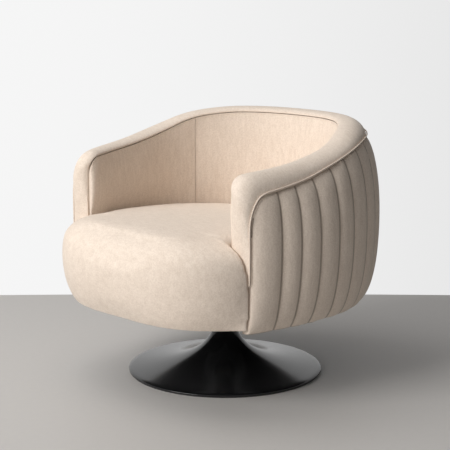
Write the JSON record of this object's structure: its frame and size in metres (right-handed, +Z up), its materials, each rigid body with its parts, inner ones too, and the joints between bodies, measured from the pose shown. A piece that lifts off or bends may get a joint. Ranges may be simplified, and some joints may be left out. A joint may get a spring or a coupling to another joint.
{
  "type": "swivel armchair",
  "caption": "Low upholstered tub armchair with a channelled wall, a plain band over its rim and a bulging seat, turning on a trumpet base.",
  "frame": {"origin": "on the floor, on the swivel axis, which is the middle of the bounding box", "axes": "+Z up the swivel axis, -Y the way the sitter faces, +X towards the arm on the sitter's left"},
  "size_m": [0.7754, 0.782, 0.6514],
  "materials": {
    "black_gloss": "gloss black paint on spun and turned steel",
    "cream_cloth": "cream chenille over padding",
    "foam": "upholstery foam with a fibre wrap",
    "plywood": "raw birch plywood",
    "steel": "bright zinc plate",
    "cast_iron": "as cast",
    "brass": "pressed sheet",
    "plastic": "moulded",
    "black_cloth": "non-woven dust cloth"
  },
  "bodies": {
    "base": {"trumpet_base": "black_gloss", "floor_ring": "plastic", "ballast_plate": "cast_iron", "pedestal_tube": "steel", "ballast_bolt_1": "steel", "ballast_bolt_2": "steel", "ballast_bolt_3": "steel", "neck_collar": "black_gloss", "lower_bush": "plastic", "upper_bush": "plastic", "lower_race": "steel"},
    "bearing": {"ball_cage": "brass", "bearing_ball_1": "steel", "bearing_ball_2": "steel", "bearing_ball_3": "steel", "bearing_ball_4": "steel", "bearing_ball_5": "steel", "bearing_ball_6": "steel"},
    "chair": {"back_rail": "plywood", "back_top_rail": "plywood", "base_board": "plywood", "dust_cover": "black_cloth", "front_foam": "foam", "front_rail": "plywood", "inside_back": "cream_cloth", "inside_left_arm": "cream_cloth", "inside_right_arm": "cream_cloth", "left_arm_post": "plywood", "left_arm_rib": "plywood", "left_back_rib": "plywood", "left_rail": "plywood", "left_side_rib": "plywood", "left_top_rail": "plywood", "outside_back": "cream_cloth", "outside_left": "cream_cloth", "outside_right": "cream_cloth", "plate_bolt_1": "steel", "plate_bolt_2": "steel", "plate_bolt_3": "steel", "plate_bolt_4": "steel", "right_arm_post": "plywood", "right_arm_rib": "plywood", "right_back_rib": "plywood", "right_rail": "plywood", "right_side_rib": "plywood", "right_top_rail": "plywood", "rim_band": "cream_cloth", "rim_welt": "cream_cloth", "seat_cover": "cream_cloth", "seat_foam": "foam", "seat_spring_1": "steel", "seat_spring_2": "steel", "seat_spring_3": "steel", "seat_spring_4": "steel", "spindle": "black_gloss", "spindle_nut": "steel", "spindle_washer": "steel", "swivel_plate": "steel", "upper_race": "steel"}
  },
  "joints": [
    {"name": "bearing_turn", "type": "hinge", "parent": "base", "child": "bearing", "pos_m": [0, 0, 0.156], "axis": [0, 0, 1], "continuous": true},
    {"name": "swivel", "type": "hinge", "parent": "base", "child": "chair", "pos_m": [0, 0, 0.156], "axis": [0, 0, 1], "continuous": true}
  ],
  "couplings": [
    {"joint": "bearing_turn", "follows": "swivel", "ratio": 0.5}
  ]
}
